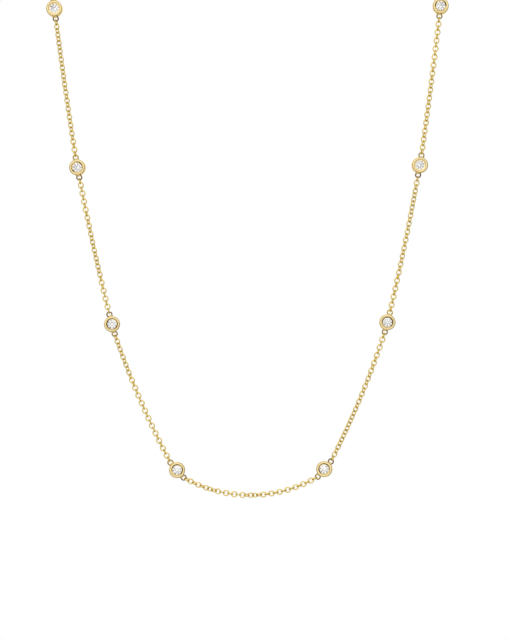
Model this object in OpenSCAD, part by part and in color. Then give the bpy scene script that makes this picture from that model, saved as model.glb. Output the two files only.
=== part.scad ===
// Station necklace: twelve round stones in bezels, evenly spaced on a fine cable chain.
// It keeps its worn form. X runs across the neck, Y towards the back and Z up.
// The front hangs in one upright plane, and the origin is at the nape, where the clasp bears.

/* [Chain] */
// Length of the whole necklace, fastened
loop_length = 457.2; // [440:0.2:480]
// Width of the chain over its round links
chain_width = 1.46; // [1.2:0.02:1.8]

/* [Bezels] */
// Outside diameter of a bezel
bezel_diameter = 3.8; // [3.5:0.05:4.2]
// Depth of a bezel from its rim to its back
bezel_depth = 2; // [1.8:0.05:2.4]
// Width of the rounded rim, seen from the front
rim_width = 0.58; // [0.5:0.02:0.64]
// Height of the rounded rim
rim_height = 0.26; // [0.2:0.02:0.3]
// Diameter of the open hole in the back of a bezel
back_hole = 1.6; // [1.2:0.05:1.8]
// Outside diameter of the rings soldered to a bezel
ring_diameter = 1.5; // [1.3:0.02:1.6]
// Thickness of those rings
ring_wire = 0.32; // [0.2:0.01:0.36]

/* [Stones] */
// Diameter of a stone at its girdle
stone_diameter = 2.4; // [2.2:0.05:2.5]
// Thickness of the girdle
girdle_height = 0.07; // [0.04:0.01:0.1]
// Slope of the eight crown mains
crown_angle = 34.5; // [33:0.5:36]
// Slope of the eight pavilion mains
pavilion_angle = 40.75; // [40:0.25:42]
// How far a stone's table lies below the rim
table_recess = 0.2; // [0.1:0.02:0.25]
// How far the bezel's lip covers a stone's edge
lip_cover = 0.07; // [0.05:0.01:0.1]

/* [Clasp] */
// Outside diameter of the clasp's ring
clasp_diameter = 5.4; // [5:0.1:6.5]
// Thickness of the clasp's ring
clasp_wire = 1; // [0.8:0.05:1.2]
// Diameter of the clasp's thumb knob
knob_diameter = 0.7; // [0.5:0.05:0.8]
// Outside diameter of the end ring that the clasp holds
end_ring_diameter = 2.6; // [2.4:0.1:3.2]
// Thickness of the end ring
end_ring_wire = 0.4; // [0.3:0.05:0.5]

/* [Hidden] */
// One row for each length of chain on one side, from the lowest point up and round to the nape:
// the rise of the chain above the level at its start and its end, the rise of the bezel that
// comes after it, and the same three for its turn about the upright, where 0 runs across the
// front, 90 runs back and 180 runs across the nape.
RISE_FROM = 0;
RISE_TO = 1;
BEZEL_RISE = 2;
TURN_FROM = 3;
TURN_TO = 4;
BEZEL_TURN = 5;
ROUTE = [
    [0, 30, 49, 0, 0, 0],
    [62.5, 71.5, 75, 0, 0, 0],
    [76.5, 79.5, 80, 0, 0, 0],
    [81.5, 83, 83, 0, 0, 0],
    [83, 25, 20, 90, 105, 110],
    [18, 10, 8, 115, 147, 154],
    [6, 0, 0, 160, 180, 180]
];
NAPE = len(ROUTE) - 1;
// The first row whose length lies above the front
FIRST_HIDDEN = 4;
// How far each bezel rolls about the chain's line towards the inside of the loop, and how far its
// stone is turned in its seat, from the clasp's tail on
BEZEL_ROLL = [0, 0, 0, -3, 4, 7, 7, 1, -2, 4, 0, 0];
STONE_TURN = [0, 14, 9, 31, 3, 20, 38, 12, 26, 17, 5, 33];

// A round brilliant's proportions, as shares of its radius or of a facet's run
TABLE_SHARE = 0.57;
STAR_SHARE = 0.5;
LOWER_HALF_SHARE = 0.8;
MAINS = 8;
MAIN_STEP = 360 / MAINS;

// Clearance between a stone and its seat, and between pieces that meet
SEAT_GAP = 0.03;
PIECE_GAP = 0.05;
// How far a soldered ring is let into the wall that carries it
SOLDER_SINK = 0.26;
// Slope of the bright bevel inside a rim
BEVEL_SLOPE = 35;
BEVEL_STEP = 0.01;

// Sides of a chain's tube, and its steps along a full length and along a half one
TUBE_SIDES = 8;
FULL_STEPS = 5;
HALF_STEPS = 3;
RIM_STEPS = 10;
BACK_EDGE = 0.3;
CURVE_SIDES = 48;

station_count = 2 * NAPE;
spacing = loop_length / station_count;
bezel_radius = bezel_diameter / 2;
ring_radius = ring_diameter / 2;
ring_reach = bezel_radius + ring_radius - SOLDER_SINK;
chain_span = spacing - 2 * ring_reach;
ring_room = ring_radius + PIECE_GAP;

// The clasp, its tail ring and the end ring lie in a row that is centred on the nape.
clasp_radius = clasp_diameter / 2;
clasp_centreline = (clasp_diameter - clasp_wire) / 2;
tail_offset = clasp_radius + ring_radius - SOLDER_SINK;
end_ring_centreline = (end_ring_diameter - end_ring_wire) / 2;
end_ring_offset = clasp_centreline - (clasp_wire + end_ring_wire) / 2 - PIECE_GAP + end_ring_centreline;
clasp_row = tail_offset + ring_radius + end_ring_offset + end_ring_diameter / 2;
clasp_shift = tail_offset + ring_radius - clasp_row / 2;
clasp_room = clasp_row / 2 + PIECE_GAP;
nape_stand = end_ring_diameter / 2;

// A stone's levels above the middle plane of its bezel
stone_radius = stone_diameter / 2;
crown_height = (1 - TABLE_SHARE) * stone_radius * tan(crown_angle);
girdle_top = bezel_depth / 2 - table_recess - crown_height;
girdle_base = girdle_top - girdle_height;

function numbered(word, i) = str(word, i < 10 ? "_0" : "_", i);
function mix(a, b, share) = a + (b - a) * share;
function unit(v) = v / norm(v);
function heading(rise, turn) = [cos(rise) * cos(turn), cos(rise) * sin(turn), sin(rise)];

// Where a length's tube has its rings, as distances from the length's start, with both its ends
function stops(row) =
    let (
        half = row == 0 || row == NAPE,
        span = half ? chain_span / 2 : chain_span,
        steps = half ? HALF_STEPS : FULL_STEPS,
        near = row == 0 ? 0 : ring_room,
        far = row == NAPE ? clasp_room : ring_room
    )
    concat([0], [for (i = [0 : steps]) mix(near, span - far, i / steps)], [span]);

// A length's points, from its own start: each step runs at the heading of its middle
function length_points(row) =
    let (s = stops(row), r = ROUTE[row], span = s[len(s) - 1])
    [for (
        i = 0, p = [0, 0, 0];
        i < len(s);
        p = i + 1 < len(s) ? p + (s[i + 1] - s[i]) * row_heading(r, (s[i] + s[i + 1]) / 2 / span) : p,
        i = i + 1
    ) p];
function row_heading(r, share) =
    heading(mix(r[RISE_FROM], r[RISE_TO], share), mix(r[TURN_FROM], r[TURN_TO], share));
function bezel_heading(row) = heading(ROUTE[row][BEZEL_RISE], ROUTE[row][BEZEL_TURN]);

function last(list) = list[len(list) - 1];
function row_start(row) = row == 0 ? [0, 0, 0] : row_end(row - 1) + 2 * ring_reach * bezel_heading(row - 1);
function row_end(row) = row_start(row) + last(length_points(row));

// The hidden lengths share out what is left between the route's end and the middle of the nape.
nape_end = row_end(NAPE);
function close_share(row, share) = max(0, (row - FIRST_HIDDEN + share) / (NAPE + 1 - FIRST_HIDDEN));
function placed(p, share) = p - nape_end + [nape_end.x, nape_stand, 0] - [nape_end.x * share, 0, 0];

// Centre of the bezel after a row, on the side where x is above zero
function bezel_centre(row) =
    placed(row_end(row) + ring_reach * bezel_heading(row), close_share(row, 1));

// Path of a row's tube, without the stretches that belong to the rings at its ends
function tube_path(row) =
    let (start = row_start(row), points = length_points(row), s = stops(row), span = last(s))
    [for (i = [1 : len(points) - 2]) placed(start + points[i], close_share(row, s[i] / span))];
function mirrored(path) = [for (p = path) [-p.x, p.y, p.z]];
function reversed(list) = [for (i = [len(list) - 1 : -1 : 0]) list[i]];

// Lengths and bezels are numbered from the clasp's tail, down one side and up the other.
function chain_path(i) =
    i < NAPE + 1 ? reversed(mirrored(tube_path(NAPE + 1 - i)))
    : i == NAPE + 1 ? lowest_path()
    : tube_path(i - NAPE - 1);
function lowest_path() =
    let (half = tube_path(0))
    concat(reversed(mirrored([for (i = [1 : len(half) - 1]) half[i]])), half);

// One tube of the chain's width along a path, on rings that stand square to it
module tube(path) {
    count = len(path);
    points = [
        for (i = [0 : count - 1])
            let (
                along = unit(path[min(i + 1, count - 1)] - path[max(i - 1, 0)]),
                outward = unit([along.y, -along.x, 0]),
                across = cross(along, outward)
            )
            for (k = [0 : TUBE_SIDES - 1])
                let (a = (k + 0.5) * 360 / TUBE_SIDES)
                path[i] + chain_width / 2 * (cos(a) * outward + sin(a) * across)
    ];
    walls = [
        for (i = [0 : count - 2], k = [0 : TUBE_SIDES - 1])
            let (
                here = i * TUBE_SIDES + k,
                beside = i * TUBE_SIDES + (k + 1) % TUBE_SIDES
            )
            each [[here, here + TUBE_SIDES, beside + TUBE_SIDES], [here, beside + TUBE_SIDES, beside]]
    ];
    first_end = [for (k = [0 : TUBE_SIDES - 1]) k];
    far_end = [for (k = [TUBE_SIDES - 1 : -1 : 0]) (count - 1) * TUBE_SIDES + k];
    polyhedron(points, concat([first_end, far_end], walls));
}

// Puts a shape that faces up, with its rings along X, at a bezel's place and angle
module at_station(i) {
    side = i > NAPE ? 1 : -1;
    row = side > 0 ? i - NAPE - 1 : NAPE - i;
    centre = bezel_centre(row);
    translate([side * centre.x, centre.y, centre.z])
        rotate([0, -side * ROUTE[row][BEZEL_RISE], side * ROUTE[row][BEZEL_TURN]])
            rotate([90, 0, 0])
                rotate([-BEZEL_ROLL[i - 1], 0, 0])
                    children();
}

module wire_ring(diameter, wire) {
    rotate_extrude($fn = CURVE_SIDES)
        translate([(diameter - wire) / 2, 0])
            circle(d = wire, $fn = CURVE_SIDES / 2);
}

// Half section of a bezel: its rim, the bright bevel down to the lip, the stone's seat and the hole
module bezel_section() {
    rim_base = bezel_depth / 2 - rim_height;
    rim_middle = bezel_radius - rim_width / 2;
    lip_radius = stone_radius - lip_cover;
    seat_radius = stone_radius + SEAT_GAP;
    hole_radius = back_hole / 2;
    crown_slope = tan(crown_angle);
    pavilion_slope = tan(pavilion_angle);
    lip_level = girdle_top + lip_cover * crown_slope + SEAT_GAP;
    back = -bezel_depth / 2;
    rim_foot = bezel_radius - rim_width;
    bevel_top = min(lip_level + (rim_foot - lip_radius) * tan(BEVEL_SLOPE), rim_base - BEVEL_STEP);
    polygon(concat(
        [for (i = [0 : RIM_STEPS])
            let (a = 180 * i / RIM_STEPS)
            [rim_middle + rim_width / 2 * cos(a), rim_base + rim_height * sin(a)]],
        [
            [rim_foot, bevel_top],
            [lip_radius, lip_level],
            [seat_radius, lip_level - (seat_radius - lip_radius) * crown_slope],
            [seat_radius, girdle_base - SEAT_GAP],
            [hole_radius, girdle_base - SEAT_GAP - (seat_radius - hole_radius) * pavilion_slope],
            [hole_radius, back]
        ],
        [for (i = [0 : RIM_STEPS / 2])
            let (a = 90 * i / (RIM_STEPS / 2))
            [bezel_radius - BACK_EDGE + BACK_EDGE * sin(a), back + BACK_EDGE - BACK_EDGE * cos(a)]]
    ));
}

module bezel(i) {
    color("goldenrod")
        at_station(i)
            union() {
                rotate_extrude($fn = CURVE_SIDES) bezel_section();
                for (side = [-1, 1])
                    translate([side * ring_reach, 0, 0]) wire_ring(ring_diameter, ring_wire);
            }
}

// A round brilliant: table, stars, mains and halves above the girdle, halves and mains below it
module diamond(i) {
    star_run = TABLE_SHARE * cos(MAIN_STEP / 2);
    star_radius = mix(star_run, 1, STAR_SHARE);
    lower_radius = 1 - LOWER_HALF_SHARE;
    star_level = girdle_top + stone_radius * (1 - star_radius * cos(MAIN_STEP / 2)) * tan(crown_angle);
    lower_level = girdle_base - stone_radius * (1 - lower_radius * cos(MAIN_STEP / 2)) * tan(pavilion_angle);
    culet_level = girdle_base - stone_radius * tan(pavilion_angle);
    points = concat(
        stone_ring(MAINS, TABLE_SHARE, 0, girdle_top + crown_height),
        stone_ring(MAINS, star_radius, MAIN_STEP / 2, star_level),
        stone_ring(2 * MAINS, 1, 0, girdle_top),
        stone_ring(2 * MAINS, 1, 0, girdle_base),
        stone_ring(MAINS, lower_radius, MAIN_STEP / 2, lower_level),
        [[0, 0, culet_level]]
    );
    star = MAINS;
    top = 2 * MAINS;
    base = 4 * MAINS;
    lower = 6 * MAINS;
    culet = 7 * MAINS;
    faces = concat(
        [[for (k = [MAINS - 1 : -1 : 0]) k]],
        [for (k = [0 : MAINS - 1])
            let (
                next = (k + 1) % MAINS,
                before = (k + MAINS - 1) % MAINS,
                here = 2 * k,
                mid = 2 * k + 1,
                after = (2 * k + 2) % (2 * MAINS)
            )
            each [
                [k, next, star + k],
                [k, star + k, top + here, star + before],
                [star + k, top + mid, top + here],
                [star + k, top + after, top + mid],
                [top + here, top + mid, base + mid, base + here],
                [top + mid, top + after, base + after, base + mid],
                [lower + k, base + here, base + mid],
                [lower + k, base + mid, base + after],
                [culet, lower + before, base + here, lower + k]
            ]]
    );
    color("aliceblue")
        at_station(i)
            rotate([0, 0, STONE_TURN[i - 1]])
                polyhedron(points, faces);
}
function stone_ring(count, share, turn, level) = [
    for (k = [0 : count - 1])
        let (a = turn + 360 * k / count)
        [stone_radius * share * cos(a), stone_radius * share * sin(a), level]
];

module chain(i) {
    color("gold") tube(chain_path(i));
}

module clasp() {
    color("darkgoldenrod")
        translate([clasp_shift, nape_stand, 0])
            union() {
                rotate([90, 0, 0]) wire_ring(clasp_diameter, clasp_wire);
                translate([-tail_offset, 0, 0])
                    rotate([90, 0, 0]) wire_ring(ring_diameter, ring_wire);
                rotate([0, -45, 0])
                    translate([clasp_radius - SOLDER_SINK, 0, 0])
                        rotate([0, 90, 0]) cylinder(d = knob_diameter, h = knob_diameter, $fn = CURVE_SIDES);
            }
}

module end_ring() {
    color("orange")
        translate([clasp_shift + end_ring_offset, nape_stand, 0])
            wire_ring(end_ring_diameter, end_ring_wire);
}

for (i = [1 : station_count]) {
    bezel(i);
    diamond(i);
}
for (i = [1 : station_count + 1])
    chain(i);
clasp();
end_ring();
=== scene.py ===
import logging
import math
import random
from collections.abc import Callable, Iterator, Sequence
from contextlib import contextmanager
from dataclasses import dataclass, field
from enum import Enum, IntEnum
from typing import Any

import bmesh
import bpy
from bpy.types import Material, Node, NodeSocket, NodeTree, Object
from mathutils import Matrix, Vector

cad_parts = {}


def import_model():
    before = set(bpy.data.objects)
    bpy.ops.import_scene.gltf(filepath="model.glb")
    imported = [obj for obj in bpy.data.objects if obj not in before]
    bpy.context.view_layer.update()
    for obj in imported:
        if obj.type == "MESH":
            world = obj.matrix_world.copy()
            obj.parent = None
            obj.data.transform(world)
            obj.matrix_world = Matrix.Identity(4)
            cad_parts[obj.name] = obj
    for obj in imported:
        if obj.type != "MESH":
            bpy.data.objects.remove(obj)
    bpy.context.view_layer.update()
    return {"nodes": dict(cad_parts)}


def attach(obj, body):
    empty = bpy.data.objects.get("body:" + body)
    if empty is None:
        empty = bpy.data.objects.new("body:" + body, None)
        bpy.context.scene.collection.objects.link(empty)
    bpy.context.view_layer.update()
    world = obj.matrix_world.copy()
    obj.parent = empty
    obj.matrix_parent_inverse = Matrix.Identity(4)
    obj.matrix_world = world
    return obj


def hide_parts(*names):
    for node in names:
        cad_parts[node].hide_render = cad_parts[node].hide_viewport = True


frame: dict[str, Any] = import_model()

LOG = logging.getLogger("station_necklace")
MM = 0.001
STAIN_AND_SHADE = "stain_and_shade"
SAME_PLACE = 1e-8
SAME_DISTANCE = 1e-12
SMOOTH_ANGLE = math.radians(38)
SMALL_RING_SIDES = (32, 12)
MOUND_SIDES = (32, 16)
RAMP_TOP = 2.0

Colour = tuple[float, float, float]
Stops = tuple[tuple[float, float], ...]

WHITE: Colour = (1.0, 1.0, 1.0)


# Modelling helpers


def deselect_all() -> None:
    """Leaves nothing selected and nothing active."""
    if bpy.context.object is not None and bpy.context.object.mode != "OBJECT":
        bpy.ops.object.mode_set(mode="OBJECT")
    bpy.ops.object.select_all(action="DESELECT")
    bpy.context.view_layer.objects.active = None


def select_only(first: Object, others: Sequence[Object] = ()) -> None:
    """Selects an object, and others with it, and makes the first one active.

    Args:
        first: The object that becomes the active one.
        others: Further objects that are selected too.
    """
    deselect_all()
    for piece in (first, *others):
        piece.select_set(True)
    bpy.context.view_layer.objects.active = first


@contextmanager
def editing(piece: Object) -> Iterator[bmesh.types.BMesh]:
    """Opens a piece in edit mode with nothing selected.

    Args:
        piece: The mesh object to edit.

    Yields:
        The mesh under edit, for choosing faces and edges by their place.
    """
    select_only(piece)
    bpy.ops.object.mode_set(mode="EDIT")
    bpy.ops.mesh.select_all(action="DESELECT")
    yield bmesh.from_edit_mesh(piece.data)
    bpy.ops.object.mode_set(mode="OBJECT")


def choose_vertices(
    mesh: bmesh.types.BMesh, piece: Object, wanted: Callable[[Vector], bool]
) -> None:
    """Selects the vertices that a test accepts, with the edges and faces between them.

    Args:
        mesh: The mesh under edit.
        piece: The object that the mesh belongs to.
        wanted: The test of a vertex's place.
    """
    bpy.ops.mesh.select_mode(type="VERT")
    bpy.ops.mesh.select_all(action="DESELECT")
    for vertex in mesh.verts:
        vertex.select_set(wanted(vertex.co))
    mesh.select_flush(True)
    bmesh.update_edit_mesh(piece.data)


def copied(piece: Object, name: str, place: Matrix) -> Object:
    """Copies a piece with its own mesh and sets the copy's place in that mesh.

    Args:
        piece: The piece that was modelled once.
        name: The copy's name.
        place: Where the copy goes.

    Returns:
        The copy, with its object at the origin.
    """
    twin = piece.copy()
    twin.data = piece.data.copy()
    twin.name = twin.data.name = name
    twin.data.transform(place)
    bpy.context.scene.collection.objects.link(twin)
    return twin


def joined(pieces: Sequence[Object], name: str) -> Object:
    """Joins pieces into one object.

    Args:
        pieces: The pieces, of which the first keeps its origin.
        name: The joined object's name.

    Returns:
        The joined object.
    """
    select_only(pieces[0], pieces[1:])
    bpy.ops.object.join()
    whole = bpy.context.object
    whole.name = whole.data.name = name
    return whole


def fused(base: Object, parts: Sequence[Object]) -> Object:
    """Fuses parts into a base as soldering does, and removes them.

    Args:
        base: The piece that grows.
        parts: What is soldered to it.

    Returns:
        The base.
    """
    for part in parts:
        select_only(base)
        bpy.ops.object.modifier_add(type="BOOLEAN")
        weld = base.modifiers[-1]
        weld.operation = "UNION"
        weld.solver = "EXACT"
        weld.object = part
        bpy.ops.object.modifier_apply(modifier=weld.name)
        bpy.data.objects.remove(part)
    return base


def smoothed(piece: Object) -> Object:
    """Shades a piece smooth, apart from its sharp edges.

    Args:
        piece: The piece to shade.

    Returns:
        The piece.
    """
    select_only(piece)
    bpy.ops.object.shade_smooth_by_angle(angle=SMOOTH_ANGLE)
    return piece


def turned_shell(section: Sequence[tuple[float, float]], sides: int, name: str) -> Object:
    """Turns a closed section about Z, as on a lathe, by extruding one circle along it.

    Args:
        section: Radius and level of each point of the section, in order.
        sides: Sides of the circle.
        name: The object's name.

    Returns:
        The turned piece, closed and with its faces outwards.
    """
    deselect_all()
    radius, level = section[0]
    bpy.ops.mesh.primitive_circle_add(vertices=sides, radius=radius, location=(0, 0, 0))
    piece = bpy.context.object
    piece.name = piece.data.name = name
    with editing(piece):
        bpy.ops.mesh.select_all(action="SELECT")
        bpy.ops.transform.translate(value=(0, 0, level))
        for next_radius, next_level in (*section[1:], section[0]):
            bpy.ops.mesh.extrude_edges_move(
                TRANSFORM_OT_translate={"value": (0, 0, next_level - level)}
            )
            share = next_radius / radius
            bpy.ops.transform.resize(value=(share, share, 1), center_override=(0, 0, next_level))
            radius, level = next_radius, next_level
        bpy.ops.mesh.select_all(action="SELECT")
        bpy.ops.mesh.remove_doubles(threshold=SAME_PLACE)
        bpy.ops.mesh.normals_make_consistent(inside=False)
    return piece


def wire_ring(
    name: str, diameter: float, wire: float, sides: tuple[int, int], seam: float = 1.0
) -> Object:
    """Makes a round ring of wire about Z, with the soldered seam that closes it on its +Y side.

    Args:
        name: The object's name.
        diameter: Outside diameter of the ring.
        wire: Thickness of its wire.
        sides: Sides of the ring, in fours, and of its wire.
        seam: How many times thicker the wire is at the seam.

    Returns:
        The ring.
    """
    middle = (diameter - wire) / 2
    deselect_all()
    bpy.ops.mesh.primitive_torus_add(
        major_radius=middle,
        minor_radius=wire / 2,
        major_segments=sides[0],
        minor_segments=sides[1],
        location=(0, 0, 0),
    )
    ring = bpy.context.object
    ring.name = ring.data.name = name
    with editing(ring) as mesh:
        choose_vertices(mesh, ring, lambda at: at.y > 0 and abs(at.x) < SAME_PLACE)
        bpy.ops.transform.resize(value=(seam, seam, seam), center_override=(0, middle, 0))
    return ring


def small_ring(diameter: float, wire: float, offset: float) -> Object:
    """Makes a small ring that is soldered to a bigger piece.

    Args:
        diameter: Outside diameter of the ring.
        wire: Thickness of its wire.
        offset: How far along X its centre stands.

    Returns:
        The ring.
    """
    ring = wire_ring("small_ring", diameter, wire, SMALL_RING_SIDES)
    ring.data.transform(Matrix.Translation((offset, 0, 0)))
    return ring


def solder_mound(size: Sequence[float], place: Sequence[float]) -> Object:
    """Makes a mound of solder, as a ball drawn out to a size.

    Args:
        size: Half the mound's size along X, Y and Z.
        place: The mound's centre.

    Returns:
        The mound.
    """
    deselect_all()
    segments, rings = MOUND_SIDES
    bpy.ops.mesh.primitive_uv_sphere_add(segments=segments, ring_count=rings, radius=1.0)
    mound = bpy.context.object
    with editing(mound):
        bpy.ops.mesh.select_all(action="SELECT")
        bpy.ops.transform.resize(value=size)
        bpy.ops.transform.translate(value=place)
    return mound


# Node helpers


def feed(node: Node, inputs: dict[str | int, Any]) -> Node:
    """Fills a node's sockets, with a link where one gets another node's socket.

    Args:
        node: The node.
        inputs: What its sockets get, by their names or numbers.

    Returns:
        The node.
    """
    for name, value in inputs.items():
        if isinstance(value, NodeSocket):
            node.id_data.links.new(value, node.inputs[name])
        else:
            node.inputs[name].default_value = value
    return node


def new_node(
    tree: NodeTree, kind: str, inputs: dict[str | int, Any] | None = None, **settings: str
) -> Node:
    """Adds a node to a material or a world.

    Args:
        tree: The nodes to add to.
        kind: The node's type, after its usual prefix.
        inputs: What its sockets get, by their names or numbers.
        settings: The node's own settings, such as its blend type.

    Returns:
        The node.
    """
    node = tree.nodes.new(f"ShaderNode{kind}")
    for name, setting in settings.items():
        setattr(node, name, setting)
    return feed(node, inputs or {})


def new_material(name: str) -> tuple[Material, Node]:
    """Starts a material.

    Args:
        name: The material's name.

    Returns:
        The material and its shader.
    """
    material = bpy.data.materials.new(name)
    material.use_nodes = True
    return material, material.node_tree.nodes["Principled BSDF"]


def clouds_on(tree: NodeTree, scale: float, detail: float = 2.0) -> NodeSocket:
    """Adds a cloudy pattern on Object coordinates.

    Args:
        tree: The nodes to add to.
        scale: Clouds to the metre.
        detail: How many finer layers they have.

    Returns:
        The pattern, from 0 to 1.
    """
    place = new_node(tree, "TexCoord").outputs["Object"]
    inputs = {"Vector": place, "Scale": scale, "Detail": detail}
    return new_node(tree, "TexNoise", inputs).outputs["Fac"]


def tinted(tree: NodeTree, share: NodeSocket, stops: Sequence[tuple[float, Colour]]) -> NodeSocket:
    """Turns a share into a colour.

    Args:
        tree: The nodes to add to.
        share: The share, from 0 to 1.
        stops: Shares and their colours, in order.

    Returns:
        The colour.
    """
    ramp = new_node(tree, "ValToRGB", {"Fac": share})
    elements = ramp.color_ramp.elements
    elements[0].position, elements[-1].position = stops[0][0], stops[-1][0]
    for place, _ in stops[1:-1]:
        elements.new(place)
    for element, (_, colour) in zip(elements, stops):
        element.color = (*colour, 1.0)
    return ramp.outputs["Color"]


def light_by(tree: NodeTree, share: NodeSocket, stops: Stops, tint: Colour = WHITE) -> NodeSocket:
    """Turns a share of a direction into light, as a part of the most that a table may hold.

    Args:
        tree: The world's nodes.
        share: The share, from -1 to 1.
        stops: Shares and their amounts of light, in order.
        tint: The light's colour.

    Returns:
        The light.
    """
    spread = new_node(tree, "MapRange", {"Value": share, "From Min": -1.0, "From Max": 1.0})
    levels = [((at + 1) / 2, tuple(light / RAMP_TOP * c for c in tint)) for at, light in stops]
    return tinted(tree, spread.outputs["Result"], levels)


def blended(
    tree: NodeTree, blend: str, first: NodeSocket, second: NodeSocket, share: float = 1.0
) -> NodeSocket:
    """Blends a second colour into a first one, in one of the node's ways."""
    inputs = {"Fac": share, "Color1": first, "Color2": second}
    return new_node(tree, "MixRGB", inputs, blend_type=blend).outputs["Color"]


# Finishes


class Polish(Enum):
    """How a gold surface was left."""

    POLISHED = "polished"
    SATIN = "satin"
    BRIGHT_CUT = "bright_cut"
    DRAWN = "drawn"
    # The rings' finish: solder-stained colour together with painted shade.
    SOLDERED = "soldered"


@dataclass(frozen=True)
class GoldFinish:
    """Yellow gold with the faint clouds and grain that its last working left, and painted shade in
    its crevices.
    """

    polish: Polish
    tint: Colour = (0.96, 0.775, 0.39)
    deep_tint: Colour = (0.92, 0.725, 0.34)
    edge_tint: Colour = (1.0, 0.86, 0.52)
    smooth: float = 0.24
    rough: float = 0.32
    cloud_scale: float = 900.0
    cloud_detail: float = 3.0
    cloud_range: tuple[float, float] = (0.3, 0.65)
    grain_scale: float = 9000.0
    grain_detail: float = 4.0
    grain_range: tuple[float, float] = (0.3, 0.7)
    relief: float = 0.004 * MM
    relief_share: float = 0.25
    # Painted shade: how much an occlusion test darkens the colour in crevices and where parts meet,
    # and within what reach.
    crevice_shade: float = 0.1
    crevice_shade_reach: float = 0.25 * MM

    def material(self) -> Material:
        """Builds the finish as a material on Object coordinates.

        Returns:
            The material.
        """
        gold, shader = new_material(f"gold_{self.polish.value}")
        tree = gold.node_tree
        clouds = clouds_on(tree, self.cloud_scale, self.cloud_detail)
        grain = clouds_on(tree, self.grain_scale, self.grain_detail)
        colour = tinted(tree, clouds, tuple(zip(self.cloud_range, (self.deep_tint, self.tint))))
        # Painted shade: darkens the colour where nearby surfaces crowd in.
        occlusion_shade = new_node(tree, "AmbientOcclusion", {"Distance": self.crevice_shade_reach})
        low, high = self.grain_range
        levels = {"From Min": low, "From Max": high, "To Min": self.smooth, "To Max": self.rough}
        relief = {"Height": grain, "Strength": self.relief_share, "Distance": self.relief}
        looks = {
            "Metallic": 1.0,
            "Specular Tint": (*self.edge_tint, 1.0),
            "Base Color": blended(tree, "MULTIPLY", colour, occlusion_shade.outputs["AO"], self.crevice_shade),
            "Roughness": new_node(tree, "MapRange", {"Value": grain, **levels}).outputs["Result"],
            "Normal": new_node(tree, "Bump", relief).outputs["Normal"],
        }
        feed(shader, looks)
        return gold


@dataclass(frozen=True)
class StainedAndShadedFinish(GoldFinish):
    """Gold darkened where the mesh's attribute marks it, partly as solder-stained colour and partly
    as painted shade.
    """

    # Dark brown for the marked places: partly solder-stained colour, partly painted shade.
    stain_and_shade_tint: Colour = (0.23, 0.13, 0.005)

    def material(self) -> Material:
        """Builds the finish as a material on Object coordinates and the attribute that marks
        solder-stained and painted-shade places.

        Returns:
            The material.
        """
        gold = super().material()
        tree = gold.node_tree
        shader = tree.nodes["Principled BSDF"]
        clean = shader.inputs["Base Color"].links[0].from_socket
        # Mixes in the dark brown where the attribute marks it, partly solder-stained colour and
        # partly painted shade.
        stain_and_shade = new_node(tree, "Attribute", attribute_name=STAIN_AND_SHADE).outputs["Fac"]
        inputs = {"Fac": stain_and_shade, "Color1": clean, "Color2": (*self.stain_and_shade_tint, 1.0)}
        feed(shader, {"Base Color": new_node(tree, "MixRGB", inputs).outputs["Color"]})
        return gold


@dataclass(frozen=True)
class BrilliantFinish:
    """Clear diamond, with the slightest cool cloud in its body."""

    cool: Colour = (0.93, 0.96, 1.0)
    clear: Colour = WHITE
    refraction: float = 2.417
    cloud_scale: float = 1500.0

    def material(self) -> Material:
        """Builds the finish as a material on Object coordinates.

        Returns:
            The material.
        """
        stone, shader = new_material("brilliant")
        tree = stone.node_tree
        clouds = clouds_on(tree, self.cloud_scale)
        looks = {
            "Base Color": tinted(tree, clouds, ((0.0, self.cool), (1.0, self.clear))),
            "Roughness": 0.0,
            "IOR": self.refraction,
            "Transmission Weight": 1.0,
        }
        feed(shader, looks)
        return stone


@dataclass(frozen=True)
class PaperFinish:
    """White studio paper with a faint mottle."""

    dim: Colour = (0.97, 0.97, 0.97)
    bright: Colour = (0.99, 0.99, 0.99)
    roughness: float = 0.8
    mottle_scale: float = 6.0

    def material(self) -> Material:
        """Builds the finish as a material on Object coordinates.

        Returns:
            The material.
        """
        paper, shader = new_material("studio_paper")
        mottle = clouds_on(paper.node_tree, self.mottle_scale)
        colour = tinted(paper.node_tree, mottle, ((0.0, self.dim), (1.0, self.bright)))
        feed(shader, {"Base Color": colour, "Roughness": self.roughness})
        return paper


def dress(piece: Object, *finishes: Material) -> None:
    """Gives a piece its materials, of which the first covers it.

    Args:
        piece: The piece to dress.
        finishes: Its materials.
    """
    piece.data.materials.clear()
    for finish in finishes:
        piece.data.materials.append(finish)


# The route round the neck


def mix(first: float, last: float, share: float) -> float:
    """Returns the value that lies a share of the way from the first to the last."""
    return first + (last - first) * share


def heading(rise: float, turn: float) -> Vector:
    """Finds the direction that a rise and a turn give.

    Args:
        rise: Degrees above the level.
        turn: Degrees about Z, from +X.

    Returns:
        The direction, of length 1.
    """
    level = math.cos(math.radians(rise))
    along = math.radians(turn)
    return Vector((level * math.cos(along), level * math.sin(along), math.sin(math.radians(rise))))


def outward(turn: float) -> Vector:
    """Returns the level direction that faces away from the neck where the chain has this turn."""
    return Vector((math.sin(math.radians(turn)), -math.cos(math.radians(turn)), 0.0))


def over(point: Vector) -> Vector:
    """Returns the point's mirror image on the necklace's other side."""
    return Vector((-point.x, point.y, point.z))


@dataclass(frozen=True)
class RouteRow:
    """One length of chain on one side and the bezel after it, as angles in degrees."""

    rise_from: float
    rise_to: float
    bezel_rise: float
    turn_from: float
    turn_to: float
    bezel_turn: float

    def direction(self, share: float) -> Vector:
        """Returns the chain's heading a share of the way along the length."""
        rise = mix(self.rise_from, self.rise_to, share)
        return heading(rise, mix(self.turn_from, self.turn_to, share))

    def bezel_direction(self) -> Vector:
        """Returns the heading of the bezel after the length."""
        return heading(self.bezel_rise, self.bezel_turn)


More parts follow.
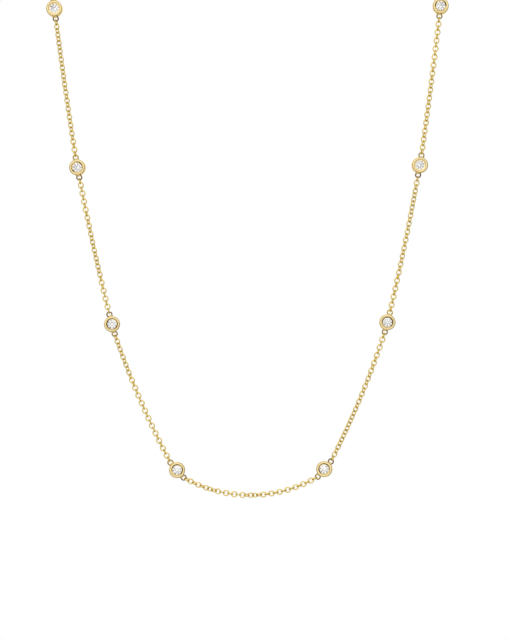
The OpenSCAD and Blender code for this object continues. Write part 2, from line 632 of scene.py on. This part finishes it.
BEZEL_ROLL = (0, 0, 0, -3, 4, 7, 7, 1, -2, 4, 0, 0)
ROUTE = (
    RouteRow(0, 30, 49, 0, 0, 0),
    RouteRow(62.5, 71.5, 75, 0, 0, 0),
    RouteRow(76.5, 79.5, 80, 0, 0, 0),
    RouteRow(81.5, 83, 83, 0, 0, 0),
    RouteRow(83, 25, 20, 90, 105, 110),
    RouteRow(18, 10, 8, 115, 147, 154),
    RouteRow(6, 0, 0, 160, 180, 180),
)


class Track:
    """A line through many close points, measured along itself, with the way that it faces."""

    def __init__(self, points: Sequence[Vector], first_face: Vector, last_face: Vector) -> None:
        """Measures the line.

        Args:
            points: The line's points in order.
            first_face: The outward direction at its start.
            last_face: The outward direction at its end.
        """
        self.points = list(points)
        self.first_face = first_face
        self.last_face = last_face
        self.reach = [0.0]
        for before, after in zip(self.points, self.points[1:]):
            self.reach.append(self.reach[-1] + (after - before).length)

    @property
    def length(self) -> float:
        """Returns the length of the line."""
        return self.reach[-1]

    def frame_at(self, distance: float) -> tuple[Vector, Vector, Vector]:
        """Finds the line's place and its directions at a distance from its start.

        Args:
            distance: How far along the line to look.

        Returns:
            The point, the direction along the line and the outward direction square to it.
        """
        enough = distance - SAME_DISTANCE
        step = next(i for i in range(1, len(self.reach)) if self.reach[i] >= enough)
        before, after = self.points[step - 1], self.points[step]
        share = (distance - self.reach[step - 1]) / (self.reach[step] - self.reach[step - 1])
        ahead = self.points[min(step + 1, len(self.points) - 1)]
        behind = self.points[max(step - 2, 0)]
        along = (after - behind).normalized().lerp((ahead - before).normalized(), share).normalized()
        face = self.first_face.lerp(self.last_face, distance / self.length)
        face = (face - along * face.dot(along)).normalized()
        return before.lerp(after, share), along, face


@dataclass(frozen=True)
class Route:
    """The whole necklace's line: twelve bezels and thirteen lengths on a loop of its real length."""

    loop_length: float = 457.2 * MM
    ring_reach: float = 2.39 * MM
    ring_room: float = 0.8 * MM
    clasp_room: float = 3.945 * MM
    nape_stand: float = 1.3 * MM
    full_steps: int = 5
    half_steps: int = 3
    first_hidden: int = 4
    fine_steps: int = 96

    @property
    def nape(self) -> int:
        """Returns the row that ends at the nape."""
        return len(ROUTE) - 1

    @property
    def stations(self) -> int:
        """Returns how many bezels the loop carries."""
        return 2 * self.nape

    @property
    def span(self) -> float:
        """Returns the length of chain between two bezels' rings."""
        return self.loop_length / self.stations - 2 * self.ring_reach

    def row_span(self, row: int) -> float:
        """Returns the length of a row's chain on one side."""
        return self.span / 2 if row in (0, self.nape) else self.span

    def stops(self, row: int) -> list[float]:
        """Finds where a row's heading changes.

        Args:
            row: The row.

        Returns:
            Distances along it, between which the heading stays the same.
        """
        span = self.row_span(row)
        steps = self.half_steps if row in (0, self.nape) else self.full_steps
        near = 0.0 if row == 0 else self.ring_room
        far = self.clasp_room if row == self.nape else self.ring_room
        return [0.0] + [mix(near, span - far, i / steps) for i in range(steps + 1)] + [span]

    def run(self, row: int) -> Vector:
        """Finds the step from a row's start to its end.

        Args:
            row: The row.

        Returns:
            The step.
        """
        span = self.row_span(row)
        stops = self.stops(row)
        legs = zip(stops, stops[1:])
        return sum(((b - a) * ROUTE[row].direction((a + b) / 2 / span) for a, b in legs), Vector())

    def start(self, row: int) -> Vector:
        """Finds the unplaced centre of the ring where a row starts.

        Args:
            row: The row.

        Returns:
            The centre, or the loop's lowest point for the first row.
        """
        if row == 0:
            return Vector()
        return self.end(row - 1) + 2 * self.ring_reach * ROUTE[row - 1].bezel_direction()

    def end(self, row: int) -> Vector:
        """Returns the unplaced centre of the ring where a row ends."""
        return self.start(row) + self.run(row)

    def placed(self, point: Vector, row: int, share: float) -> Vector:
        """Sets a point in the necklace's frame, where the hidden rows share out the closing step.

        Args:
            point: The unplaced point.
            row: The row that it lies on.
            share: How far along the row it lies.

        Returns:
            The point, on the side where X is above zero.
        """
        last = self.end(self.nape)
        closed = max(0.0, (row - self.first_hidden + share) / (self.nape + 1 - self.first_hidden))
        return point - last + Vector((last.x * (1 - closed), self.nape_stand, 0.0))

    def row_points(self, row: int) -> list[Vector]:
        """Lays close points along a row.

        Args:
            row: The row.

        Returns:
            Its points from start to end, on the side where X is above zero.
        """
        leg = self.row_span(row) / self.fine_steps
        here = self.start(row)
        line = [here]
        for i in range(self.fine_steps):
            here = here + leg * ROUTE[row].direction((i + 0.5) / self.fine_steps)
            line.append(here)
        miss = self.end(row) - here
        shares = [i / self.fine_steps for i in range(self.fine_steps + 1)]
        return [self.placed(p + miss * s, row, s) for p, s in zip(line, shares)]

    def track(self, number: int) -> Track:
        """Builds the line of one length, from the clasp's tail down one side and up the other.

        Args:
            number: The length's number, from 1.

        Returns:
            The length's line, from ring centre to ring centre.
        """
        lowest = self.nape + 1
        row = abs(number - lowest)
        points = self.row_points(row)
        near_turn = ROUTE[row - 1].bezel_turn if row else 0.0
        faces = outward(near_turn), outward(ROUTE[row].bezel_turn)
        other_side = [over(point) for point in reversed(points)]
        if number == lowest:
            return Track(other_side + points[1:], *faces)
        if number > lowest:
            return Track(points, *faces)
        return Track(other_side, *(over(face) for face in reversed(faces)))

    def station(self, number: int) -> Matrix:
        """Places a bezel that is modelled face up with its rings along X.

        Args:
            number: The bezel's number, from 1.

        Returns:
            The bezel's place.
        """
        side = 1 if number > self.nape else -1
        row = number - self.nape - 1 if side > 0 else self.nape - number
        centre = self.end(row) + self.ring_reach * ROUTE[row].bezel_direction()
        centre = self.placed(centre, row, 1.0)
        centre.x *= side
        turn = Matrix.Rotation(side * math.radians(ROUTE[row].bezel_turn), 4, "Z")
        rise = Matrix.Rotation(-side * math.radians(ROUTE[row].bezel_rise), 4, "Y")
        roll = Matrix.Rotation(math.radians(90 - BEZEL_ROLL[number - 1]), 4, "X")
        return Matrix.Translation(centre) @ turn @ rise @ roll


# Sub-assemblies


@dataclass
class CableChain:
    """Fine cable chain of slightly oval soldered links, in lengths between the bezels."""

    route: Route
    finish: Material
    width: float = 1.46 * MM
    length: float = 1.62 * MM
    wire: float = 0.3 * MM
    sides: tuple[int, int] = (12, 6)
    seam: float = 1.14
    ring_to_link: float = 0.905 * MM
    tail_ring: float = 3.145 * MM
    end_link: float = 3.975 * MM
    full_links: int = 33
    nape_links: int = 13
    twist_play: float = 4.0
    tilt_play: float = 1.2
    seed: int = 11
    twists: dict[int, Stops] = field(
        default_factory=lambda: {
            4: ((0, 5), (0.08, 30), (0.3, 28), (0.8, 25), (0.95, 8), (1, 5)),
            5: ((0, 5), (0.2, 5), (0.35, 20), (0.45, 30), (0.68, 28), (0.78, 5), (1, 3)),
            6: ((0, 10), (0.08, 28), (0.28, 30), (0.36, 8), (0.5, 2), (1, 5)),
            7: ((0, 14), (0.16, 16), (0.31, 90), (0.44, 90), (0.59, 164), (0.85, 162), (1, 166)),
            8: ((0, 5), (0.06, 25), (0.2, 42), (0.32, 45), (0.45, 30), (0.75, 20), (0.85, 5), (1, 5)),
            9: ((0, 5), (0.18, 8), (0.4, 25), (0.55, 18), (0.85, 35), (0.95, 10), (1, 5)),
            10: ((0, 10), (0.1, 20), (0.5, 20), (0.62, 12), (0.75, 5), (1, 5)),
            13: ((0, 0), (1, 90)),
        }
    )

    def model_link(self) -> Object:
        """Makes the one link that all others are copies of.

        Returns:
            The link, about Z at the origin, with its longer way along X.
        """
        link = wire_ring("cable_link", self.width, self.wire, self.sides, self.seam)
        half = (self.length - self.width) / 2
        with editing(link) as mesh:
            for side in (-1, 1):
                choose_vertices(mesh, link, lambda at: at.x * side > SAME_PLACE)
                bpy.ops.transform.translate(value=(side * half, 0, 0))
        select_only(link)
        bpy.ops.object.shade_smooth()
        dress(link, self.finish)
        return link

    def twist_at(self, number: int, share: float) -> float:
        """Reads how far a length is twisted from facing outwards.

        Args:
            number: The length's number.
            share: How far along the length to look.

        Returns:
            The twist in degrees.
        """
        stops = self.twists.get(number, ((0, 0), (1, 0)))
        for (before, low), (after, high) in zip(stops, stops[1:]):
            if share <= after:
                return mix(low, high, (share - before) / (after - before))
        return stops[-1][1]

    def reach(self, number: int, track: Track) -> tuple[float, float, int]:
        """Finds where a length's first and last links lie.

        Args:
            number: The length's number.
            track: The length's line.

        Returns:
            The distances of the first and last link's centres and the count of links.
        """
        first, last = self.ring_to_link, track.length - self.ring_to_link
        if number == 1:
            return self.tail_ring + self.ring_to_link, last, self.nape_links
        if number == self.route.stations + 1:
            return first, track.length - self.end_link, self.nape_links
        return first, last, self.full_links

    def build(self, number: int, link: Object, play: random.Random) -> Object:
        """Threads one length from copies of the link and joins them.

        Args:
            number: The length's number.
            link: The link to copy.
            play: The source of the small looseness of each link.

        Returns:
            The length as one piece.
        """
        track = self.route.track(number)
        first, last, count = self.reach(number, track)
        links = []
        for i in range(count):
            distance = mix(first, last, i / (count - 1))
            point, along, face = track.frame_at(distance)
            edge_on = 90 if i % 2 == 0 else 0
            twist = self.twist_at(number, distance / track.length) + edge_on
            twist += play.uniform(-self.twist_play, self.twist_play)
            tilt = math.radians(play.uniform(-self.tilt_play, self.tilt_play))
            across = along.cross(face)
            normal = face * math.cos(math.radians(twist)) + across * math.sin(math.radians(twist))
            side = normal.cross(along)
            place = Matrix((along, side, normal)).transposed().to_4x4()
            flip = Matrix.Rotation(math.pi * play.randint(0, 1), 4, "X")
            place = Matrix.Translation(point) @ place @ Matrix.Rotation(tilt, 4, "Z") @ flip
            links.append(copied(link, f"link_{i}", place))
        return joined(links, f"links_{number:02d}")

    def make(self) -> list[Object]:
        """Makes every length and puts it in the frame.

        Returns:
            The lengths.
        """
        link = self.model_link()
        play = random.Random(self.seed)
        lengths = []
        for number in range(1, self.route.stations + 2):
            length = self.build(number, link, play)
            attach(length, "root")
            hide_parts(f"chain_{number:02d}")
            lengths.append(length)
        bpy.data.objects.remove(link)
        return lengths


class BezelSurface(IntEnum):
    """The bezel's surfaces, in the order of its finishes."""

    BODY = 0
    BEVEL = 1
    RING = 2


@dataclass(frozen=True)
class StationLook:
    """What differs between the bezels: the bevel's slope in degrees and how dark each ring is, partly
    solder-stained and partly painted shade.
    """

    slope: float
    lower_stain_and_shade: float
    upper_stain_and_shade: float


@dataclass
class BezelSetting:
    """Round bezel with a rolled rim, a bright bevel inside it and a soldered ring at each side."""

    route: Route
    finishes: tuple[Material, Material, Material]
    diameter: float = 3.8 * MM
    depth: float = 2.0 * MM
    rim_width: float = 0.58 * MM
    rim_height: float = 0.26 * MM
    rim_fullness: float = 2.2
    rim_lean: float = 0.09 * MM
    back_hole: float = 1.6 * MM
    back_edge: float = 0.3 * MM
    ring_diameter: float = 1.5 * MM
    ring_wire: float = 0.32 * MM
    stone_diameter: float = 2.4 * MM
    girdle_height: float = 0.07 * MM
    crown_angle: float = 34.5
    pavilion_angle: float = 40.75
    table_share: float = 0.57
    table_recess: float = 0.2 * MM
    lip_cover: float = 0.12 * MM
    seat_gap: float = 0.03 * MM
    sides: int = 64
    rim_steps: int = 14
    edge_steps: int = 6
    bevel_steps: int = 4
    bevel_hollow: float = 0.005 * MM
    solder_size: tuple[float, float, float] = (0.25 * MM, 0.6 * MM, 0.24 * MM)
    solder_inset: float = 0.02 * MM
    solder_shift: float = 0.14 * MM
    # How far the rings' darkening, partly solder-stained and partly painted shade, reaches from the
    # bezel, and how softly it fades.
    stain_and_shade_reach: float = 0.75 * MM
    stain_and_shade_fade: float = 0.3 * MM
    looks: tuple[StationLook, ...] = (
        StationLook(35, 0.8, 0.4),
        StationLook(35, 0.8, 0.4),
        StationLook(18, 1.0, 0.4),
        StationLook(32.5, 0.9, 0.35),
        StationLook(32.5, 0.6, 0.85),
        StationLook(35, 0.8, 0.5),
        StationLook(35, 0.6, 1.0),
        StationLook(35, 0.7, 0.1),
        StationLook(18, 1.0, 0.55),
        StationLook(35, 0.65, 0.3),
        StationLook(35, 0.8, 0.4),
        StationLook(35, 0.8, 0.4),
    )

    @property
    def lip(self) -> float:
        """Returns the radius of the lip that holds the stone."""
        return self.stone_diameter / 2 - self.lip_cover

    @property
    def rim_foot(self) -> float:
        """Returns the radius where the rim meets the bevel inside it."""
        return self.diameter / 2 - self.rim_width

    def rim_section(self) -> list[tuple[float, float]]:
        """Works out the rim: half an oval that leans a little inwards.

        Returns:
            Radius and level of each point, from the outside over the crest.
        """
        base = self.depth / 2 - self.rim_height
        middle = self.diameter / 2 - self.rim_width / 2
        points = []
        for i in range(self.rim_steps + 1):
            a = math.pi * i / self.rim_steps
            across = abs(math.cos(a)) ** (2 / self.rim_fullness) * self.rim_width / 2
            above = math.sin(a) ** (2 / self.rim_fullness) * self.rim_height
            place = middle + math.copysign(across, math.cos(a)) - self.rim_lean * math.sin(a) ** 2
            points.append((place, base + above))
        return points

    def section(self, slope: float) -> list[tuple[float, float]]:
        """Works out the bezel's half section.

        Args:
            slope: Slope of the bevel inside the rim, in degrees.

        Returns:
            Radius and level of each point, from the rim's outside round to the back's.
        """
        stone = self.stone_diameter / 2
        crown = math.tan(math.radians(self.crown_angle))
        pavilion = math.tan(math.radians(self.pavilion_angle))
        girdle_top = self.depth / 2 - self.table_recess - (1 - self.table_share) * stone * crown
        lip_level = girdle_top + self.lip_cover * crown + self.seat_gap
        seat = stone + self.seat_gap
        seat_level = girdle_top - self.girdle_height - self.seat_gap
        hole = self.back_hole / 2
        back = -self.depth / 2
        points = self.rim_section()
        bevel_top = lip_level + (self.rim_foot - self.lip) * math.tan(math.radians(slope))
        for i in range(self.bevel_steps + 1):
            share = i / self.bevel_steps
            hollow = self.bevel_hollow * math.sin(math.pi * share)
            level = mix(bevel_top, lip_level, share) - hollow
            points.append((mix(self.rim_foot, self.lip, share), level))
        points.append((seat, lip_level - (seat - self.lip) * crown))
        points.append((seat, seat_level))
        points.append((hole, seat_level - (seat - hole) * pavilion))
        points.append((hole, back))
        edge = self.back_edge
        for i in range(self.edge_steps + 1):
            a = math.pi / 2 * i / self.edge_steps
            place = self.diameter / 2 - edge + edge * math.sin(a)
            points.append((place, back + edge - edge * math.cos(a)))
        return points

    def side_ring(self, side: int) -> Object:
        """Makes one of the two soldered rings, in its own finish.

        Args:
            side: 1 or -1, for the ring's side along X.

        Returns:
            The ring.
        """
        ring = small_ring(self.ring_diameter, self.ring_wire, side * self.route.ring_reach)
        dress(ring, *self.finishes)
        for face in ring.data.polygons:
            face.material_index = BezelSurface.RING
        return ring

    def solder(self, side: int) -> Object:
        """Makes the mound of solder between the bezel and the ring at one side, 1 or -1."""
        reach = side * (self.diameter / 2 + self.solder_inset)
        return solder_mound(self.solder_size, (reach, -side * self.solder_shift, 0))

    def model(self, slope: float) -> Object:
        """Makes the one bezel that all others with its bevel are copies of.

        Args:
            slope: Slope of the bevel inside the rim, in degrees.

        Returns:
            The bezel, face up at the origin.
        """
        bezel = turned_shell(self.section(slope), self.sides, "bezel_setting")
        dress(bezel, *self.finishes)
        for face in bezel.data.polygons:
            inside = self.lip < face.center.to_2d().length < self.rim_foot
            on_bevel = inside and face.center.z > 0
            face.material_index = BezelSurface.BEVEL if on_bevel else BezelSurface.BODY
        for side in (-1, 1):
            fused(bezel, [self.side_ring(side), self.solder(side)])
        return smoothed(bezel)

    def stain_and_shade(self, model: Object, number: int) -> None:
        """Marks how dark the rings of one bezel are, the lower and the upper: partly solder-stained,
        partly painted shade.

        Args:
            model: The bezel's model.
            number: The bezel's number, from 1.
        """
        look = self.looks[number - 1]
        lower_side = 1 if number <= self.route.nape else -1
        attributes = model.data.attributes
        marks = attributes.get(STAIN_AND_SHADE) or attributes.new(STAIN_AND_SHADE, "FLOAT", "POINT")
        for vertex, mark in zip(model.data.vertices, marks.data):
            # Painted shade and solder-stained colour: full over most of the ring, fading at its far
            # end.
            reach = self.route.ring_reach + self.stain_and_shade_reach - abs(vertex.co.x)
            strength = look.lower_stain_and_shade if vertex.co.x * lower_side > 0 else look.upper_stain_and_shade
            mark.value = strength * min(1.0, max(0.0, reach / self.stain_and_shade_fade))

    def make(self) -> list[Object]:
        """Makes every bezel and puts it in the frame.

        Returns:
            The bezels.
        """
        slopes = sorted({look.slope for look in self.looks})
        models = {slope: self.model(slope) for slope in slopes}
        bezels = []
        for number, look in enumerate(self.looks, start=1):
            model = models[look.slope]
            self.stain_and_shade(model, number)
            bezel = copied(model, f"setting_{number:02d}", self.route.station(number))
            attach(bezel, "root")
            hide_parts(f"bezel_{number:02d}")
            bezels.append(bezel)
        for model in models.values():
            bpy.data.objects.remove(model)
        return bezels


@dataclass
class Brilliants:
    """The twelve round brilliants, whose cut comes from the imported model."""

    count: int
    finish: Material

    def make(self) -> list[Object]:
        """Dresses every stone.

        Returns:
            The stones.
        """
        stones = [frame["nodes"][f"diamond_{number:02d}"] for number in range(1, self.count + 1)]
        for stone in stones:
            dress(stone, self.finish)
        return stones


@dataclass
class RingClasp:
    """Round clasp with a thumb knob and a soldered tail ring, and the end ring that it holds."""

    finish: Material
    diameter: float = 5.4 * MM
    wire: float = 1.0 * MM
    sides: tuple[int, int] = (72, 24)
    knob_diameter: float = 0.7 * MM
    knob_sink: float = 0.26 * MM
    knob_edge: float = 0.1 * MM
    knob_edge_steps: int = 4
    knob_sides: int = 24
    knob_turn: float = -45.0
    ring_diameter: float = 1.5 * MM
    ring_wire: float = 0.32 * MM
    shift: float = 0.045 * MM
    tail_offset: float = 3.19 * MM
    end_diameter: float = 2.6 * MM
    end_wire: float = 0.4 * MM
    end_sides: tuple[int, int] = (48, 14)
    end_seam: float = 1.06
    end_offset: float = 2.55 * MM
    stand: float = 1.3 * MM
    solder_size: tuple[float, float, float] = (0.17 * MM, 0.6 * MM, 0.24 * MM)

    def knob(self) -> Object:
        """Makes the thumb knob on its post, with a rounded edge.

        Returns:
            The knob, where the clasp lies about Z at the origin.
        """
        deselect_all()
        top = self.knob_diameter / 2
        bpy.ops.mesh.primitive_cylinder_add(vertices=self.knob_sides, radius=top, depth=2 * top)
        knob = bpy.context.object
        with editing(knob) as mesh:
            choose_vertices(mesh, knob, lambda at: at.z > 0)
            bpy.ops.mesh.bevel(offset=self.knob_edge, segments=self.knob_edge_steps, affect="EDGES")
        reach = self.diameter / 2 - self.knob_sink + top
        turn = Matrix.Rotation(math.radians(self.knob_turn), 4, "Z")
        lay = turn @ Matrix.Translation((reach, 0, 0))
        knob.data.transform(lay @ Matrix.Rotation(math.pi / 2, 4, "Y"))
        return knob

    def make_clasp(self) -> Object:
        """Makes the clasp with its knob and tail ring.

        Returns:
            The clasp, in the frame.
        """
        clasp = wire_ring("ring_clasp", self.diameter, self.wire, self.sides)
        tail = small_ring(self.ring_diameter, self.ring_wire, -self.tail_offset)
        solder = solder_mound(self.solder_size, (-self.diameter / 2, 0, 0))
        fused(clasp, [self.knob(), tail, solder])
        smoothed(clasp)
        place = Matrix.Translation((self.shift, self.stand, 0))
        clasp.data.transform(place @ Matrix.Rotation(math.pi / 2, 4, "X"))
        dress(clasp, self.finish)
        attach(clasp, "root")
        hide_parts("clasp")
        return clasp

    def make_end_ring(self) -> Object:
        """Makes the end ring that the clasp is closed through.

        Returns:
            The ring, in the frame.
        """
        ring = wire_ring(
            "closing_ring", self.end_diameter, self.end_wire, self.end_sides, self.end_seam
        )
        select_only(ring)
        bpy.ops.object.shade_smooth()
        ring.data.transform(Matrix.Translation((self.shift + self.end_offset, self.stand, 0)))
        dress(ring, self.finish)
        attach(ring, "root")
        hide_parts("end_ring")
        return ring

    def make(self) -> list[Object]:
        """Makes the clasp and its end ring."""
        return [self.make_clasp(), self.make_end_ring()]


# Studio


@dataclass
class Studio:
    """Plain white studio: paper floor, soft light all round and a long level lens at the front.

    Each table of light holds shares of a direction, from -1 to 1, and amounts of light: by the turn
    from the front to the back, by the height from below to above, or by the side from left to right.
    """

    paper: Material
    floor_level: float = -0.45
    floor_width: float = 2.0
    floor_shift: float = 0.3
    floor_squares: int = 8
    lens: float = 100.0
    sensor: float = 36.0
    near_clip_share: float = 0.05
    far_clip: float = 20.0
    half_height: float = 76.0 * MM
    front_plane: float = -50.4 * MM
    aim_x: float = 1.03 * MM
    aim_z: float = -113.69 * MM
    roll: float = 0.39
    tent_tip: float = 6.0
    tent_rings: Stops = (
        (-1.0, 1.03),
        (-0.56, 1.03),
        (-0.48, 0.05),
        (-0.3, 0.05),
        (-0.18, 0.85),
        (0.0, 0.8),
        (0.12, 0.3),
        (0.45, 0.3),
        (0.6, 1.0),
        (1.0, 1.0),
    )
    overhead: Stops = ((-1.0, 0.0), (0.78, 0.0), (0.9, 0.6), (1.0, 0.8))
    heights: Stops = (
        (-1.0, 0.3),
        (-0.94, 0.45),
        (-0.8, 0.84),
        (-0.35, 0.78),
        (0.0, 0.9),
        (0.35, 1.16),
        (0.7, 1.12),
        (0.9, 1.02),
        (1.0, 1.02),
    )
    sides: Stops = (
        (-1.0, 0.4),
        (-0.93, 1.0),
        (-0.3, 1.08),
        (0.3, 1.0),
        (0.8, 0.82),
        (0.93, 0.85),
        (1.0, 0.4),
    )
    stone_rings: Stops = (
        (-1.0, 0.36),
        (-0.94, 0.36),
        (-0.91, 1.45),
        (-0.6, 1.45),
        (-0.3, 0.5),
        (1.0, 0.5),
    )
    stone_gain: float = 1.025
    stone_tint: Colour = (1.0, 0.985, 0.955)

    def lay_floor(self) -> None:
        """Lays the paper floor."""
        deselect_all()
        squares = self.floor_squares
        bpy.ops.mesh.primitive_grid_add(
            x_subdivisions=squares, y_subdivisions=squares, size=self.floor_width
        )
        floor = bpy.context.object
        floor.name = floor.data.name = "paper_floor"
        with editing(floor):
            bpy.ops.mesh.select_all(action="SELECT")
            bpy.ops.transform.translate(value=(0, self.floor_shift, self.floor_level))
        floor.visible_glossy = False
        floor.visible_transmission = False
        dress(floor, self.paper)

    def light_tent(self) -> None:
        """Sets the light round the object: one pattern for the gold and one for what the stones bend.

        The camera and the paper see plain white.
        """
        world = bpy.data.worlds.new("light_tent")
        bpy.context.scene.world = world
        world.use_nodes = True
        tree = world.node_tree
        direction = new_node(tree, "TexCoord").outputs["Generated"]
        tip = math.radians(self.tent_tip)
        back = {0: direction, 1: (0.0, math.cos(tip), math.sin(tip))}
        turn = new_node(tree, "VectorMath", back, operation="DOT_PRODUCT").outputs["Value"]
        split = new_node(tree, "SeparateXYZ", {"Vector": direction}).outputs
        light = light_by(tree, turn, self.tent_rings)
        light = blended(tree, "LIGHTEN", light, light_by(tree, split["Z"], self.overhead))
        light = blended(tree, "MULTIPLY", light, light_by(tree, split["X"], self.sides))
        light = blended(tree, "MULTIPLY", light, light_by(tree, split["Z"], self.heights))
        bent = light_by(tree, turn, self.stone_rings, self.stone_tint)
        tent = feed(tree.nodes["Background"], {"Color": light, "Strength": RAMP_TOP**3})
        stones = {"Color": bent, "Strength": RAMP_TOP * self.stone_gain}
        lights = (
            tent.outputs["Background"],
            new_node(tree, "Background", stones).outputs["Background"],
            new_node(tree, "Background", {"Color": (*WHITE, 1.0)}).outputs["Background"],
        )
        path = new_node(tree, "LightPath").outputs
        plain = {0: path["Is Camera Ray"], 1: path["Is Diffuse Ray"]}
        is_plain = new_node(tree, "Math", plain, operation="MAXIMUM").outputs["Value"]
        choice = {0: path["Is Transmission Ray"], 1: lights[0], 2: lights[1]}
        mirrored = new_node(tree, "MixShader", choice).outputs["Shader"]
        shown = new_node(tree, "MixShader", {0: is_plain, 1: mirrored, 2: lights[2]})
        feed(tree.nodes["World Output"], {"Surface": shown.outputs["Shader"]})

    def set_camera(self) -> None:
        """Stands the camera where the picture was taken from."""
        distance = self.half_height * self.lens / (self.sensor / 2)
        optics = bpy.data.cameras.new("long_lens")
        optics.lens = self.lens
        optics.sensor_width = self.sensor
        optics.clip_start = distance * self.near_clip_share
        optics.clip_end = self.far_clip
        camera = bpy.data.objects.new("camera", optics)
        bpy.context.scene.collection.objects.link(camera)
        aim = Matrix.Translation((self.aim_x, self.front_plane, self.aim_z))
        tip = Matrix.Rotation(math.radians(self.roll), 4, "Y")
        back = Matrix.Translation((0, -distance, 0))
        camera.matrix_world = aim @ tip @ back @ Matrix.Rotation(math.pi / 2, 4, "X")
        bpy.context.scene.camera = camera

    def make(self) -> None:
        """Sets up the whole studio."""
        self.lay_floor()
        self.light_tent()
        self.set_camera()
        bpy.context.scene.view_settings.view_transform = "Standard"
        LOG.info("studio: floor, light tent and camera")


def main() -> None:
    """Builds the necklace's pieces in order, then the studio round them."""
    logging.basicConfig(level=logging.INFO, format="%(message)s")
    satin_gold = GoldFinish(Polish.SATIN).material()
    polished_gold = GoldFinish(Polish.POLISHED, smooth=0.2, rough=0.28).material()
    cut_gold = GoldFinish(
        Polish.BRIGHT_CUT,
        tint=(0.96, 0.78, 0.42),
        deep_tint=(0.92, 0.73, 0.37),
        smooth=0.02,
        rough=0.04,
        relief=0.001 * MM,
        crevice_shade=0.0,
    ).material()
    # The chain's colour gets the most painted shade, where its links cross.
    drawn_gold = GoldFinish(
        Polish.DRAWN,
        tint=(1.0, 0.79, 0.26),
        deep_tint=(0.94, 0.71, 0.18),
        smooth=0.06,
        rough=0.14,
        crevice_shade=0.5,
    ).material()
    # The rings' darker tints and dark edge tint: partly solder-stained colour, partly painted shade.
    soldered_and_shaded_gold = StainedAndShadedFinish(
        Polish.SOLDERED,
        tint=(0.9, 0.66, 0.1),
        deep_tint=(0.82, 0.57, 0.06),
        edge_tint=(0.3, 0.17, 0.02),
        crevice_shade=0.4,
    ).material()
    route = Route()
    assemblies = (
        BezelSetting(route, (satin_gold, cut_gold, soldered_and_shaded_gold)),
        Brilliants(route.stations, BrilliantFinish().material()),
        CableChain(route, drawn_gold),
        RingClasp(polished_gold),
    )
    for assembly in assemblies:
        for piece in assembly.make():
            LOG.info("%s: %d faces", piece.name, len(piece.data.polygons))
    Studio(PaperFinish().material()).make()


if __name__ == "__main__":
    main()
